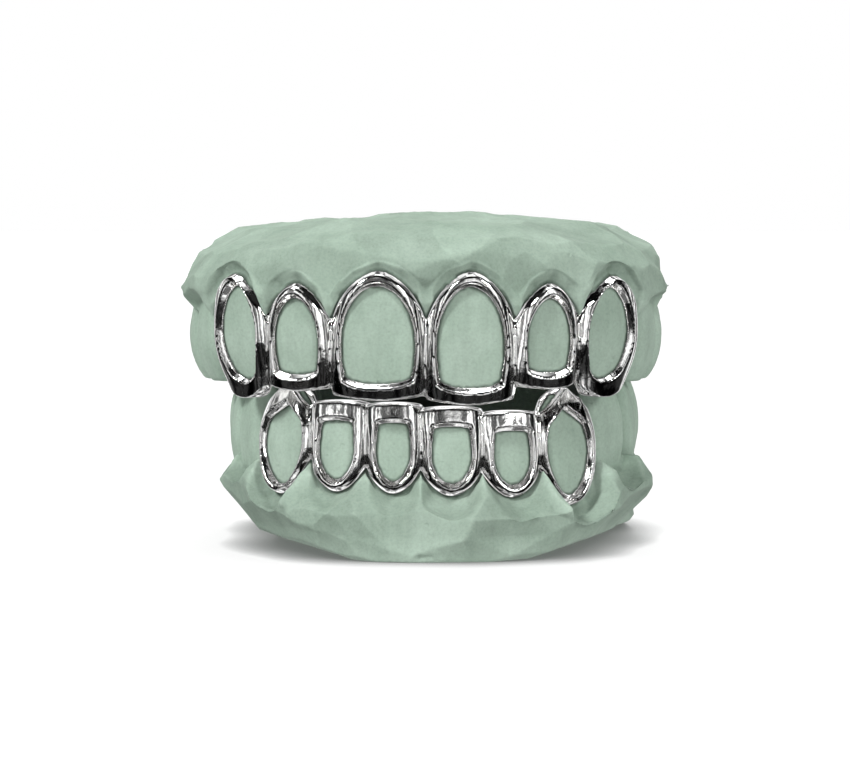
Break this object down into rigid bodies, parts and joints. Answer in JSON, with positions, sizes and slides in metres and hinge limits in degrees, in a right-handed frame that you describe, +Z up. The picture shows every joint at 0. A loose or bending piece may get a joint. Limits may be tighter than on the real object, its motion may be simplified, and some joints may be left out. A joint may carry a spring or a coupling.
{
  "type": "pair of open-face grillz tooth covers on dental casts",
  "caption": "Polished metal frames that edge the upper and lower front teeth, shown on the pair of green dental-stone casts they were fitted to.",
  "frame": {"origin": "on the table under the middle of the casts' outline", "axes": "+Z up, the covers face -Y, +X to the viewer's right"},
  "size_m": [0.0529, 0.0458, 0.0359],
  "materials": {
    "polished_metal": "hand-polished silver, mirror bright with fine polishing marks",
    "green_stone": "matt pale green dental stone, knife trimmed"
  },
  "bodies": {
    "root": {"upper_cover": "polished_metal", "lower_cover": "polished_metal", "upper_cast": "green_stone", "lower_cast": "green_stone"}
  },
  "joints": []
}
